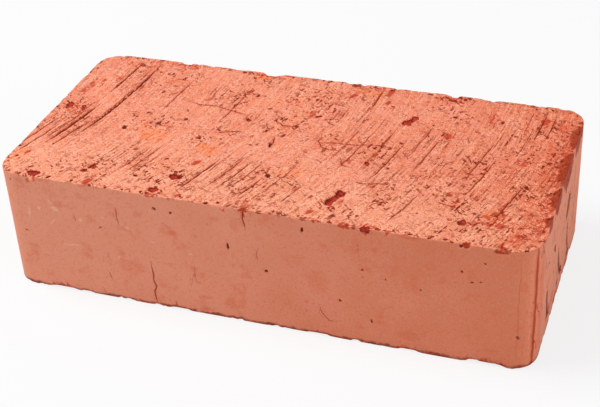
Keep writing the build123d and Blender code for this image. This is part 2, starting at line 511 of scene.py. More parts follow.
@dataclass
class BrickMarks:
    """Everything that cutting, drying, firing and handling left on the brick."""

    block: Block
    wire: WirePath = field(default_factory=WirePath)
    seed: int = 17

    def furrows(self) -> list[Mark]:
        """The long furrows that coarse grains on the wire tore.

        Returns:
            One score for each stretch.
        """
        tears = (
            (-102.4, 54, 32, 0.9, 0.8), (-91.8, 54, 71, 1.2, 0.9), (-100.6, 10, 40, 1.4, 1),
            (-103.4, 6, 34, 0.6, 0.4), (-93, 30, 34, 0.5, 0.3), (-95.6, -8, 26, 0.7, 0.5),
            (-68.5, 42, 30, 0.6, 0.4), (-48, -18, 26, 0.6, 0.5), (-36.5, 40, 34, 0.6, 0.4),
            (-16.7, -24, 28, 0.8, 0.6), (-7, -20, 26, 0.8, 0.6), (10.5, -34, 16, 0.7, 0.5),
            (26.5, 56, 18, 0.8, 0.5), (36, 16, 36, 0.6, 0.4), (53.5, 12, 36, 0.6, 0.4),
            (67, 18, 30, 0.6, 0.4), (79, -28, 24, 0.6, 0.4), (107.2, 54, 28, 0.6, 0.5),
            (116.5, -10, 28, 0.7, 0.5), (-111, -12, 34, 0.7, 0.5), (-106.5, -14, 28, 0.7, 0.5),
            (-52, -22, 22, 0.5, 0.4), (-44, -26, 20, 0.5, 0.4), (-2, -22, 24, 0.5, 0.4),
            (3, -20, 22, 0.5, 0.4), (18, -18, 30, 0.5, 0.4), (29, 20, 34, 0.45, 0.3),
            (45, 24, 40, 0.45, 0.3), (60, 30, 30, 0.5, 0.3), (91, 20, 34, 0.6, 0.4), (97, 6, 30, 0.6, 0.4),
            (101, 54, 24, 0.4, 0.3), (112, 52, 22, 0.6, 0.4),
        )
        made = []
        for back_x, start, long, wide, deep in tears:
            x = back_x - self.wire.lean(start)
            route = self.wire.along(x, start, long)
            tint = min(0.9, 0.45 + 0.5 * wide)
            made.append(Score(Side.UPPER, tuple(map(tuple, route)), wide, deep, tint=tint))
        return made

    def pits(self) -> list[Mark]:
        """The pits and torn places that stand out, on the upper bed, its arrises and the sides.

        Returns:
            One mark for each.
        """
        burnt = (
            (-41.7, -42.4, 5, 7, 1.6), (-47.4, -54.6, 4.4, 5.4, 1.4), (-82, -44, 4.8, 4.2, 1.4),
            (-84.2, -48.2, 3.6, 4, 1.2), (33.4, -36.6, 6.4, 4.6, 2, -16), (30.8, -44, 7.2, 4, 1.8, -16),
            (48.4, 34, 4.6, 4, 0.9, -24), (45.4, 28.6, 5.6, 5, 1.1, -24), (89, -44.4, 4.8, 4.2, 1.4),
            (-106, -56, 4.6, 7, 1.4), (-119, 5, 7, 4, 0.9), (-111, 4.6, 6, 3, 0.8, -20),
            (61.5, 55, 3.4, 4.8, 1),
        )
        dark = (
            (-10, -5.6, 5.2, 1.9, 1.4, -10), (-44.8, -8.2, 2.4, 3.6, 1.2), (-83, -8, 4.2, 2, 1.2, -14),
            (66.4, 39.6, 2.4, 2.8, 1.1), (88.6, 40.4, 4.2, 1.8, 1.1), (109.6, -11.4, 4.2, 2.2, 1.1, -30),
            (-1.6, -31.2, 4.2, 2, 1.1, -18), (-16, 5.4, 3, 1.4, 1, -8), (48, -12, 2.4, 1.6, 0.8),
        )
        ochre = (
            (-66, -12, 16, 18, 0.3), (-37, -17.5, 13, 15, 0.3), (7, -27, 10, 14, 0.3),
            (-35, 55, 8, 14, 0.3), (22, 52, 6, 20, 0.2), (-120, -44, 14, 6, 0.2), (-2, 26, 7, 6, 0.3),
            (100, -36, 10, 9, 0.2), (-74, -6, 9, 6, 0.2),
        )
        torn = (
            (-78, 57, 7, 22, 0.7), (-33, 56, 6, 22, 0.8), (-104, 52, 8, 14, 0.4), (62, 56, 6, 22, 0.7),
            (20, 57, 5, 26, 0.6), (102, -40, 15, 18, 0.8, 20), (93, -44, 8, 10, 0.6), (121, 12, 60, 9, 0.5),
            (121.5, -28, 50, 7, 0.6), (112, -50, 8, 14, 0.5), (-114, 2, 12, 9, 0.6, -20),
            (-118, 22, 22, 6, 0.5), (-4, -56, 7, 12, 0.8), (52, -57, 5, 14, 0.7), (-46, -56, 5, 14, 0.5),
            (-92, 30, 10, 6, 0.3, -10), (30, -10, 6, 5, 0.4), (13, -38, 7, 5, 0.4), (104, 8, 10, 8, 0.5),
            (84, 42, 14, 7, 0.3, 6), (-12, 34, 8, 9, 0.4), (-106, 36, 8, 6, 0.4), (116, 40, 16, 8, 0.5),
            (0, 26, 9, 7, 0.3),
        )
        made = hollows(Side.UPPER, burnt, Tone.BURNT, 0.95) + hollows(Side.UPPER, dark, Tone.SHADE, 0.95)
        made += hollows(Side.UPPER, ochre, Tone.OCHRE, 0.85) + hollows(Side.UPPER, torn, Tone.TORN, 0.5)
        made.append(Pit(Side.UPPER, (105, -41), 8, 5, 0.8, tone=Tone.TORN, tint=0.8))
        bridges = (
            (((48.4, 34), (45.4, 28.6)), 3, 0.8),
            (((33.8, -36.6), (32.6, -39.6), (30.6, -44.4)), 3.2, 1),
        )
        made += [Score(Side.UPPER, route, wide, 0.9, Tone.BURNT, tint) for route, wide, tint in bridges]
        return made + self.arris_marks() + self.hidden_marks() + self.side_pits()

    def arris_marks(self) -> list[Mark]:
        """The torn and rusty places along the front and right arrises of the upper bed.

        Returns:
            One mark for each.
        """
        end, top = self.block.right_end, self.block.height
        front = (
            (-2.9, 6, 3.6, Tone.RUST, 0.7), (4.1, 3, 2.4, Tone.RUST, 0.7), (24.2, 3.4, 2, Tone.RUST, 0.7),
            (29.3, 3, 2, Tone.TORN, 0.7), (42, 6, 3.4, Tone.TORN, 0.9), (46.4, 3, 2.2, Tone.RUST, 0.6),
            (51.4, 6, 4.4, Tone.BURNT, 0.7), (61.4, 3.4, 2.6, Tone.TORN, 0.6), (70.6, 11, 5, Tone.SCUFF, 0.5),
            (94.6, 4, 3.4, Tone.RUST, 0.6), (108.8, 8, 4.4, Tone.RUST, 0.5), (-47, 6, 3, Tone.TORN, 0.7),
        )
        crack = ((108.6, -59.0), (108.6, -56.1), (108.9, -52.8), (109.5, -49.9))
        made = [Score(Side.UPPER, crack, 0.8, 0.0, tint=0.85)]
        for x, wide, reach, *look in front:
            made.append(Pit(Side.WALL, (x, top - 0.6), reach, wide, 0.2, 0, *look))
            made.append(Pit(Side.UPPER, (x, -58.6), reach, wide, 0.2, 0, *look))
        right = ((-38, -30, 3), (-24, -8, 4.4), (-4, 22, 6.4), (26, 46, 5))
        for near, far, wide in right:
            middle, span = (near + far) / 2, 1.25 * (far - near)
            made.append(Pit(Side.WALL, (end(middle), top - 1.5), 3.0 * wide, span, 0.2, 0, Tone.RUST, 1.0))
            made.append(Pit(Side.UPPER, (124.0, middle), span, 1.5 * wide, 0.2, 0, Tone.RUST, 0.75))
        return made

    def side_pits(self) -> list[Mark]:
        """The few pits, slits and scuffs that stand out on the sides.

        Returns:
            One mark for each.
        """
        dark = (
            (-45.5, 54.7, 1.8, 2.6, 1.3, 30), (-37.3, 53.9, 1.3, 1.6, 1), (23.5, 55.7, 3.2, 1.4, 1.4, 14),
            (-11.5, 40.9, 4.2, 1.3, 1.4, -4), (6, 30.8, 1.8, 1.7, 1.1), (39.4, 21.5, 1.4, 1.5, 1),
            (60.1, 37, 1.1, 1, 0.6), (53.5, 12.9, 2.6, 1, 0.7, -10), (92.4, 60.6, 1.8, 2.2, 0.9),
            (-116.8, 58.2, 1.2, 1.2, 0.6), (101, 44, 0.9, 1.6, 0.4),
        )
        faint = (
            (50, 40.1, 1.3, 1.2, 0.9), (97.5, 42.8, 1, 2.2, 0.7), (75.3, 34.1, 1.6, 1.3, 0.6),
            (117.4, 17.2, 1.6, 2.8, 0.7, 40),
        )
        smears = (
            (23.8, 17.6, 2.4, 2.8, 0.3), (55.5, 51, 3.2, 4, 0.3), (-24.6, 9.4, 2.4, 9, 0.2),
            (-24.4, 2.8, 2.6, 7, 0.2), (-5.4, 30.6, 3, 2.6, 0.2), (-5.8, 25, 2.2, 2.2, 0.2),
            (-9.7, 31, 2.8, 2, 0.2), (-9.7, 36, 3.6, 1.4, 0.2), (-26.6, 43.3, 2.8, 2.2, 0.1),
            (-20.2, 50.9, 1.2, 2.6, 0.1), (79.6, 47.9, 5, 6, 0.1), (-54, 50, 4, 5, 0.1),
            (-82, 55, 4, 4, 0.1), (119, 43.5, 7, 5, 0.3), (-40, 44, 7, 9, 0.1), (70, 8, 6, 12, 0.2),
            (-60, 20, 10, 16, 0.1), (30, 30, 14, 12, 0.1),
        )
        pale = (
            (-95.6, 45.8, 2, 5.2, 0.05, 16), (-97.8, 49.3, 3.2, 1, 0.05, -36),
            (-98.2, 38.4, 6.6, 0.9, 0.05, 42), (-83.4, 41.9, 2.4, 2, 0.05), (-59.9, 41.7, 1.8, 2.2, 0.05),
            (-89.6, 27.1, 0.9, 10, 0.05, -4), (-48.2, 36.3, 1.2, 2.2, 0.05),
            (-66.2, 24.2, 2.6, 1.6, 0.05, 20), (-109.7, 42, 6.6, 1.3, 0.05, 4), (-104, 45, 2.4, 2, 0.05),
            (-72, 45.4, 1, 2.4, 0.05), (-30, 33, 1.2, 2.6, 0.05),
        )
        made = hollows(Side.WALL, dark, Tone.SHADE, 0.95) + hollows(Side.WALL, faint, Tone.SHADE, 0.55)
        made += hollows(Side.WALL, smears, Tone.SCUFF, 0.3) + hollows(Side.WALL, pale, Tone.PALE, 0.5)
        return made + self.end_marks()

    def end_marks(self) -> list[Mark]:
        """The crease by the right corner, and the pits and slits in the right end, with painted shade round
        the slits and holes.

        Returns:
            One mark for each.
        """
        end = self.block.right_end
        top = self.block.height - 1.5
        # The crease, the fold in it, the strip left bare before it, the blush past it and the step.
        by_corner = (
            (((125.1, -9), (125.3, 30), (125, top + 9)), 2.6, 0.4, Tone.SCUFF, 1),
            (((125.6, -9), (125.8, 30), (125.5, top + 9)), 1.3, 0.3, Tone.LINE, 0.55),
            (((121, 0), (121, self.block.height)), 7, 0.05, Tone.BARE, 0.8),
            (((130.6, 0), (130.6, self.block.height)), 7, 0, Tone.SCUFF, 0.5),
            (((117.2, 1), (117.2, top)), 0.4, 0.15, Tone.LINE, 0.22),
        )
        slits = (
            (((20, 43), (17.6, 37.4), (13, 30.6)), 4.4, 1.4, 0.95),
            (((7.4, 40), (6.2, 33.6), (2.6, 30.4)), 1.2, 0.7, 0.7),
            (((18.6, 28), (18.8, 19), (23.4, 9.6), (25.8, 3.4)), 1.8, 0.8, 0.8),
            (((-6.1, 28), (-3.6, 19), (0.6, 12), (8.5, 5.8)), 2, 0.6, 0.95),
            (((-34.2, 28), (-32.6, 19.4), (-29.4, 9.1), (-24, 6)), 2.2, 0.7, 0.9),
            (((-16.3, 13), (-18.4, 6)), 1.4, 0.5, 0.7),
            (((-28.5, 30), (-31.6, 27)), 1.2, 0.4, 0.5),
            (((30, 52), (31, 40), (28.6, 30)), 1, 0.5, 0.5),
            (((-20, 39), (-16, 34)), 1.6, 0.5, 0.8),
            (((34, 26), (37, 14)), 1.2, 0.4, 0.5),
        )
        made = [Score(Side.WALL, *details) for details in by_corner]
        # The photo's view glances along this end, so its marks are drawn wider and shallower.
        wider, shallower, widest_thin = 1.6, 0.5, 1.3
        for route, wide, deep, tint in slits:
            route = tuple((end(y), z) for y, z in route)
            made.append(Score(Side.WALL, route, wider * wide, shallower * deep, tint=tint))
            if wide > widest_thin:
                # A flat dark mark twice as wide as the slit: painted shade where the slit's far wall lies in
                # shadow.
                made.append(Score(Side.WALL, route, 2.0 * wide, PAINTED_SHADE_DEPTH, Tone.SHADE, 0.8 * tint))
        holes = (
            (15.6, 36.4, 9, 5, 1.4, 20), (-17.8, 36.8, 3.6, 3.2, 1.3, 8), (4.2, 9.2, 3.4, 5.2, 1, 0),
            (-30.6, 10.4, 3.6, 4.4, 1, 6), (-4.8, 8.6, 2.6, 3.6, 0.8, 0), (-18.6, 24, 1.6, 1.4, 0.7, 0),
            (24.6, 5, 3.4, 4, 1, 0),
        )
        for y, z, long, wide, deep, turn in holes:
            made.append(Pit(Side.WALL, (end(y), z), long, wide, 0.6 * deep, turn, tint=0.95))
            # A flat dark mark a little larger than the hole: painted shade on the hole's far wall.
            made.append(Pit(Side.WALL, (end(y), z), 1.35 * long, 1.35 * wide, PAINTED_SHADE_DEPTH, turn, tint=0.95))
        flaked = (
            (-19, 58, 7, 16, 0.3), (9, 57, 9, 22, 0.4), (38, 58, 6, 18, 0.3), (-38, 60, 4, 14, 0.2),
            (-28, 9, 8, 12, 0.2), (22, 5, 8, 14, 0.2), (-8, 4, 6, 16, 0.2),
        )
        flaked = [(end(y), z, *size) for y, z, *size in flaked]
        return made + hollows(Side.WALL, flaked, Tone.TORN, 0.6)

    def hidden_marks(self) -> list[Mark]:
        """The pits, slits and worn places of the back stretcher and the left end, which no photo shows.

        Returns:
            One mark for each.
        """
        back, left, top = self.block.back_stretcher, self.block.left_end, self.block.height
        pits = (
            (back(-84), 41, 2.6, 2.2, 0.5), (back(-52), 14, 3.4, 2.6, 0.6), (back(-23), 48, 2, 2.8, 0.5),
            (back(8), 27, 2.2, 1.8, 0.4), (back(37), 9, 2.6, 2.4, 0.5), (back(61), 44, 4.2, 3, 0.7),
            (back(92), 22, 2, 2, 0.4), (back(-101), 19, 1.8, 1.6, 0.4), (back(20), 53, 2.4, 1.6, 0.4),
            (left(-34), 22, 2.6, 3.2, 0.6), (left(-12), 46, 2.2, 2, 0.5), (left(18), 9, 3.4, 4, 0.7),
            (left(39), 38, 2, 2.4, 0.4), (left(6), 30, 1.8, 1.6, 0.4),
        )
        slits = (
            (((back(46), 61.5), (back(46.8), 56), (back(45.2), 49), (back(46), 43)), 0.7, 0.85),
            (((back(-71), 0.5), (back(-70.2), 8), (back(-71.3), 16)), 0.6, 0.7),
            (((back(-12), 36), (back(-11), 30)), 0.8, 0.5),
            (((left(24), 31), (left(21), 20), (left(16), 11)), 2.2, 0.8),
            (((left(-20), 40), (left(-17), 33)), 1.8, 0.7),
            (((left(-39), 24), (left(-36), 14), (left(-33), 8)), 2.2, 0.8),
            (((left(42), 52), (left(40), 44)), 1.4, 0.5),
        )
        worn = (
            (left(-40), left(-16), 4.4, Tone.RUST), (left(0), left(22), 5, Tone.RUST),
            (left(33), left(46), 3.6, Tone.TORN), (back(-96), back(-82), 4, Tone.TORN),
            (back(-34), back(-24), 3.6, Tone.TORN), (back(3), back(14), 4.4, Tone.RUST),
            (back(52), back(66), 4, Tone.TORN), (back(88), back(104), 4.6, Tone.RUST),
        )
        made = hollows(Side.WALL, pits, Tone.SHADE, 0.9)
        made += [Score(Side.WALL, route, wide, 0.5, tint=tint) for route, wide, tint in slits]
        for start, stop, wide, tone in worn:
            middle, span = (start + stop) / 2, 1.25 * abs(stop - start)
            made.append(Pit(Side.WALL, (middle, top - 0.5), 2.2 * wide, span, 0.2, 0, tone, 0.8))
        return made

    def cracks(self) -> list[Mark]:
        """The drying cracks on the upper bed and the front stretcher.

        Returns:
            One score for each.
        """
        bed = (
            ((-63, 23), (-56, 21), (-48, 21.5), (-41, 20), (-34, 18), (-28, 17)),
            ((-16, 18), (-14, 14.5), (-10, 12), (-6, 12), (-3, 12.5)),
            ((-39, -2), (-33, 0.5), (-26, 1.5)),
            ((10, 1.5), (18, 3), (27, 3.5), (35, 5.5), (40, 6), (46, 5.5)),
            ((40, 6), (40.5, 11), (41.5, 16)),
            ((25, -9), (27, -14), (32, -15.5)),
            ((75, -32), (79, -33.5), (86, -34)),
            ((35, -25), (40, -27), (47, -25), (52, -24)),
            ((-70, -1), (-66, -2.5), (-61, -2)),
            ((12, 8), (10.5, 3), (13, -1.5), (18, -4)),
            ((-17.5, 2.5), (-16, 5), (-14, 9.6)), ((-10, 1), (-9.4, -3), (-9.2, -8.5)),
            ((78, 8), (81, 5), (83, 1)),
        )
        front = (
            (
                ((-49.3, 0.5), (-50.1, 7.9), (-49.3, 10.4), (-50, 14.9), (-49.9, 18.3), (-50.2, 24.5)),
                0.7, 0.85,
            ),
            (((-2.6, 61.5), (-3.1, 59.7), (-3.7, 56.5), (-2.9, 54), (-2.4, 51.5)), 0.7, 0.85),
            (((-64.5, 52.1), (-64.4, 46.7), (-63.9, 42.4)), 0.5, 0.55),
            (((-86.6, 44.8), (-85.6, 41)), 0.4, 0.45),
            (((2.6, 42.6), (1.7, 38.6), (2.4, 35.8)), 0.4, 0.4),
            (((30, 17.5), (31, 12.6), (34.6, 9.4), (38.3, 10)), 0.4, 0.5),
            (((-28.9, 25), (-28.5, 17.6)), 0.35, 0.35),
            (((-71.5, 26.6), (-71.5, 22.4)), 0.4, 0.4),
            (((-73.1, 15), (-71.5, 10.9)), 0.45, 0.45),
            (((-76.6, 5), (-76, 1.2)), 0.35, 0.35),
            (((-29.1, 28.6), (-28.6, 23.7), (-30.5, 18.8), (-31.6, 12.6)), 0.35, 0.25),
            (((48.4, 53.8), (48.4, 48.2)), 0.3, 0.3),
        )
        made = [Score(Side.UPPER, route, 0.5, 0.5, tint=0.8) for route in bed]
        return made + [Score(Side.WALL, route, wide, 0.3, tint=tint) for route, wide, tint in front]

    def crowds(self) -> tuple[tuple[float, float, float], ...]:
        """Where torn flecks crowd on the beds: each place, and how far its crowd reaches."""
        return (
            (-76, 40, 15), (-96, 50, 9), (-119, 6, 11), (-79, 0, 10), (-67, 1, 9),
            (-106, -9, 9), (-43, -8, 6), (-35, -2, 7), (-40, 30, 12), (-5, 42, 15),
            (-9, 12, 13), (5, 30, 10), (15, 2, 11), (38, 0, 13), (-1, -38, 18),
            (-45, -44, 15), (-81, -46, 13), (-61, -38, 11), (33, -52, 15), (52, -36, 13),
            (87, -32, 14), (87, -54, 12), (105, -42, 19), (115, -18, 15), (111, 12, 15),
            (108, 42, 15), (118, 32, 13), (67, 40, 9), (87, -4, 17), (62, 24, 9),
            (-104, -54, 12), (20, 54, 12), (62, 55, 12), (-34, 56, 10), (70, -18, 12),
        )

    def swept(self) -> tuple[tuple[float, float, float], ...]:
        """Where the wire left its streaks on the beds: each place, and how far they reach."""
        return (
            (-113, -10, 20), (-100, 32, 16), (-22, -36, 19), (3, -44, 16), (23, 30, 15),
            (50, -14, 20), (68, 4, 20), (98, 28, 24), (98, -34, 18), (-74, -32, 12),
            (-48, 34, 11), (112, -4, 16), (-28, 10, 9),
        )

    def busy(self, x: float, y: float) -> float:
        """How thickly chance marks lie at a place on a bed, 0 to 1."""
        return 0.35 + 0.35 * (x > 0) + 0.3 * (y < -15) + 0.3 * (x < -85)

    def drags(self, side: Side, count: int, random: np.random.Generator) -> list[Mark]:
        """The many short scratches along the wire's path.

        Args:
            side: The bed that they are on.
            count: How many.
            random: The source of chance.

        Returns:
            One score for each.
        """
        block, made = self.block, []
        while len(made) < count:
            x, y = (random.uniform(-0.5, 0.5) * (size - 2) for size in (block.length, block.width))
            long, wide = random.gamma(2.0, 3.0) + 1.5, random.uniform(0.25, 0.7)
            if random.random() > self.busy(x, y):
                continue
            long = min(long, y + block.width / 2 - 1)
            if long > 1.2:
                route = self.wire.along(x, y, long, 2.5)
                made.append(Score(side, tuple(map(tuple, route)), wide, wide * 0.6, Tone.BARE))
        return made

    def flecks(self, side: Side, count: int, longest: float, random: np.random.Generator) -> list[Mark]:
        """The short torn cracks that run every way.

        Args:
            side: The skin that they are on.
            count: How many.
            longest: The most steps that one takes.
            random: The source of chance.

        Returns:
            One score for each.
        """
        made = []
        while len(made) < count:
            x, y = self.block.chance_spot(side, random)
            heading, steps = random.uniform(0, 2 * math.pi), random.integers(1, longest + 1)
            wide = random.uniform(0.3, 0.8)
            if side is not Side.WALL and random.random() > self.busy(x, y) + 0.2:
                continue
            route = [(x, y)]
            for _ in range(steps):
                heading += random.uniform(-0.9, 0.9)
                stride = random.uniform(0.8, 2.2)
                x, y = x + stride * math.cos(heading), y + stride * math.sin(heading)
                route.append((x, y))
            made.append(Score(side, tuple(route), wide, wide * 0.7, tint=random.uniform(0.3, 0.8)))
        return made

    def specks(self, side: Side, count: int, largest: float, random: np.random.Generator) -> list[Mark]:
        """The many small holes of lost and burnt-out grains.

        Args:
            side: The skin that they are on.
            count: How many.
            largest: The widest of them.
            random: The source of chance.

        Returns:
            One pit for each.
        """
        made = []
        for _ in range(count):
            x, y = self.block.chance_spot(side, random)
            wide = 0.8 + (largest - 0.8) * random.random() ** 3
            long = wide * random.uniform(1.0, 2.2)
            tone = Tone.BURNT if random.random() < 0.45 else Tone.SHADE
            turn, tint = random.uniform(-90, 90), random.uniform(0.3, 0.9)
            made.append(Pit(side, (x, y), long, wide, wide * 0.4, turn, tone, tint))
        return made

    def edge_specks(self, count: int, random: np.random.Generator) -> list[Mark]:
        """The torn grains that crowd along the upper bed's edge.

        Args:
            count: How many.
            random: The source of chance.

        Returns:
            One pit for each.
        """
        made = []
        while len(made) < count:
            place = random.uniform(-0.5, 0.5, 2) * (self.block.length, self.block.width)
            inset, _ = self.block.plan(place[None, :])
            if 0 < inset[0] < 4.5 * random.random():
                wide, turn = random.uniform(0.8, 2.0), random.uniform(-90, 90)
                tone = Tone.BURNT if random.random() < 0.6 else Tone.SHADE
                made.append(Pit(Side.UPPER, tuple(place), wide * 1.5, wide, wide * 0.5, turn, tone, 0.8))
        return made

    def everything(self) -> list[Mark]:
        """Lists every mark, the same ones on every run.

        Returns:
            The marks that stand out, then those that chance spreads.
        """
        random = np.random.default_rng(self.seed)
        marks = self.furrows() + self.pits() + self.cracks()
        marks += self.drags(Side.UPPER, 360, random)
        marks += self.flecks(Side.UPPER, 150, 1, random)
        marks += self.flecks(Side.UPPER, 60, 4, random)
        marks += self.specks(Side.UPPER, 160, 2.4, random)
        marks += self.edge_specks(120, random)
        marks += self.drags(Side.LOWER, 120, random)
        marks += self.specks(Side.LOWER, 120, 2.6, random)
        marks += self.flecks(Side.WALL, 8, 1, random)
        marks += self.specks(Side.WALL, 18, 1.3, random)
        return marks

    def chips(self) -> list[Chip]:
        """The flakes lost from the edges of the two beds.

        Returns:
            The chips that stand out, with the run of each along the sides.
        """
        front_upper = (
            (-106, 8, 3.4, 2.6), (-3.2, 4.6, 2.2, 4.2), (50.4, 6.6, 2.4, 2.4), (108.8, 6, 2.6, 2.2),
            (94.6, 3.4, 1.6, 1.6),
        )
        front_lower = (
            (-98, 22, 1.8, 2.6), (-38, 16, 1.6, 1.8), (29, 16, 1.6, 1.8), (70, 14, 1.7, 1.8),
            (104, 26, 2.2, 3.4),
        )
        back_upper = (
            (-79, 9, 2.6, 2.2), (-32.6, 12, 4.2, 3), (61.5, 6.4, 3.6, 2.2), (79, 14, 1.8, 1.8),
        )
        end_lower = (
            (-36, 7, 1.8, 1.8), (-21, 5, 1.4, 2.6), (-5, 9, 2.2, 1.8), (11, 6, 1.8, 3), (30, 10, 2.4, 2.2),
        )
        made = [Chip(Side.UPPER, *size) for size in front_upper]
        made += [Chip(Side.LOWER, *size) for size in front_lower]
        made += [Chip(Side.UPPER, self.block.back_stretcher(x), *size) for x, *size in back_upper]
        made += [Chip(Side.LOWER, self.block.right_end(y), *size) for y, *size in end_lower]
        return made


@dataclass
class FiredBrick:
    """The brick itself: one piece of fired clay that replaces the plain solid."""

    block: Block
    voxel: float = 0.5
    triangles: int = 192000
    seed: int = 5

    def __post_init__(self) -> None:
        """Draws up the marks that this brick carries."""
        self.marks = BrickMarks(self.block)
        self.pressed = self.marks.everything()
        self.noise = ClayNoise(self.seed)

    def blank(self) -> bpy.types.Mesh:
        """Makes the pressed column between two cuts, with its round corners.

        Returns:
            The sharp-edged block.
        """
        block = bmesh.new()
        bmesh.ops.create_cube(block, size=MM)
        size = Vector((self.block.length, self.block.width, self.block.height))
        bmesh.ops.scale(block, vec=size, verts=block.verts)
        bmesh.ops.translate(block, vec=(0, 0, size.z * MM / 2), verts=block.verts)
        upright = [edge for edge in block.edges if abs(edge.verts[0].co.z - edge.verts[1].co.z) > MM]
        bmesh.ops.bevel(
            block, geom=upright, offset=self.block.corner * MM, segments=16,
            profile=0.5, affect="EDGES", material=-1,
        )
        mesh = bpy.data.meshes.new("block")
        block.to_mesh(mesh)
        block.free()
        return mesh

    def worked(self, mesh: bpy.types.Mesh, kind: str, **settings: object) -> bpy.types.Mesh:
        """Runs one modifier over a mesh.

        Args:
            mesh: The mesh, which is used up.
            kind: The kind of modifier.
            settings: What the modifier is set to.

        Returns:
            The new mesh.
        """
        holder = bpy.data.objects.new("holder", mesh)
        bpy.context.scene.collection.objects.link(holder)
        modifier = holder.modifiers.new("work", kind)
        for name, value in settings.items():
            setattr(modifier, name, value)
        shaped = holder.evaluated_get(bpy.context.evaluated_depsgraph_get())
        made = bpy.data.meshes.new_from_object(shaped)
        bpy.data.objects.remove(holder)
        bpy.data.meshes.remove(mesh)
        return made

    def skin(self, mesh: bpy.types.Mesh) -> Skin:
        """Reads a mesh's points, in millimetres."""
        places = np.empty(len(mesh.vertices) * 3)
        mesh.vertices.foreach_get("co", places)
        return Skin(places.reshape(-1, 3) / MM, self.block)

    def combed(self, skin: Skin) -> np.ndarray:
        """Works out the fine furrows and dents that cover both beds.

        Args:
            skin: The surface points.

        Returns:
            The depth at each point.
        """
        wire = self.marks.wire
        x, y = skin.points[:, 0], skin.points[:, 1]
        straight, drawn_out = x + wire.lean(y), 14.0
        streak = self.noise.at(np.column_stack([straight * drawn_out, y, skin.points[:, 2]]), drawn_out)
        patchy = ramp(self.noise.layered(skin.points, 26.0, 2), -0.5, 0.5)
        dents = self.noise.layered(skin.points, 3.0, 2)
        swell = self.noise.at(skin.points, 45.0)
        left_end = ramp(x, -70.0, -115.0)
        furrow_deep, dent_deep, swell_deep, least = 0.16, 0.09, 0.12, 0.05
        fine = furrow_deep * (0.3 + 0.7 * patchy + 0.6 * left_end) * (1 + streak)
        return least + fine + dent_deep * (1 + dents) + swell_deep * (1 + swell)

    def edge_wear(self, skin: Skin, bed: Side) -> tuple[np.ndarray, np.ndarray, np.ndarray]:
        """Works out how far the edge of a bed is worn back.

        Args:
            skin: The surface points.
            bed: The bed whose edge it is.

        Returns:
            At each point, the reach into the bed, the reach down the side, and
            how much of a chip it is.
        """
        shift = 0.0 if bed is Side.UPPER else BED_SHIFT
        nicks = ramp(self.noise.layered(skin.points + shift, 4.2, 3), 0.0, 0.7)
        slow = ramp(self.noise.at(skin.points + shift, 19.0), -0.4, 0.9)
        base = 0.6 if bed is Side.UPPER else 0.9
        base = base + 0.7 * ramp(skin.outward[:, 1], 0.3, 0.9)
        inwards = base + 0.6 * slow + 2.0 * nicks
        down = base + 0.5 * slow + 1.4 * nicks
        chipped = 0.6 * nicks
        for chip in self.marks.chips():
            if chip.bed is bed:
                nearness = ramp(np.abs(skin.run - chip.run) / (chip.long / 2), 1.1, 0.35)
                inwards = np.maximum(inwards, chip.into_bed * nearness)
                down = np.maximum(down, chip.down_side * nearness)
                chipped = np.maximum(chipped, nearness)
        return inwards, down, chipped

    def wear_edge(self, skin: Skin, bed: Side) -> None:
        """Takes the sharp edge off a bed.

        Args:
            skin: The surface points, which are moved.
            bed: The bed whose edge it is.
        """
        inwards, down, chipped = self.edge_wear(skin, bed)
        way = 1.0 if bed is Side.UPPER else -1.0
        depth = self.block.height - skin.points[:, 2] if bed is Side.UPPER else skin.points[:, 2]
        inset, outward = self.block.plan(skin.points)
        left_down = 1 - depth / down
        left_in = 1 - inset / inwards
        power = 2.0 - 0.8 * chipped
        norm = (np.maximum(left_down, 0) ** power + np.maximum(left_in, 0) ** power) ** (1 / power)
        cut = (left_down > 0) & (left_in > 0) & (norm > 1)
        keep = np.where(cut, 1 / np.maximum(norm, 1e-9), 1.0)
        lower = left_down * (1 - keep) * down
        inward = left_in * (1 - keep) * inwards
        skin.points[:, 2] -= np.where(cut, way * lower, 0.0)
        skin.points[:, :2] -= np.where(cut, inward, 0.0)[:, None] * outward

    def weathered(self, mesh: bpy.types.Mesh) -> None:
        """Presses all the wear into a fine blank.

        Args:
            mesh: The blank, which is changed.
        """
        skin = self.skin(mesh)
        skin.press(self.pressed, WAVER, self.noise)
        bed_share = ramp(np.minimum(skin.from_top, skin.from_floor), EDGE_BAND, 0.0)
        wall_share = ramp(skin.inset, EDGE_BAND, 0.0)
        bed_depth = self.combed(skin) + np.where(skin.masks[Side.WALL], 0.0, skin.depth)
        ripple = 0.05 + 0.05 * (1 + self.noise.at(skin.points * (1, 1, 0.4), 8.0))
        for deep, size in ((0.035, 2.6), (0.1, 38.0)):
            ripple += deep * (1 + self.noise.at(skin.points, size))
        wall_depth = ripple + np.where(skin.masks[Side.WALL], skin.depth, 0.0)
        down = np.where(skin.from_top < skin.from_floor, -1.0, 1.0)
        kept_depth = np.where(down > 0, 0.35, 1.0)
        skin.points[:, 2] += down * bed_share * kept_depth * bed_depth
        skin.points[:, :2] -= (wall_share * wall_depth)[:, None] * skin.outward
        for bed in (Side.UPPER, Side.LOWER):
            self.wear_edge(skin, bed)
        mesh.vertices.foreach_set("co", (skin.points * MM).ravel())
        mesh.update()

    def gathered(self, skin: Skin, spots: tuple[tuple[float, float, float], ...]) -> np.ndarray:
        """Grades the points by how near they lie to the middle of a spot.

        Args:
            skin: The surface points.
            spots: The middle of each spot along and across the brick, and its reach.

        Returns:
            From 0 outside every spot to 1 in the middle of one.
        """
        grade = np.zeros(len(skin.points))
        for x, y, reach in spots:
            distance = np.hypot(skin.points[:, 0] - x, skin.points[:, 1] - y) / reach
            grade = np.maximum(grade, ramp(distance, 1.35, 0.25))
        return grade

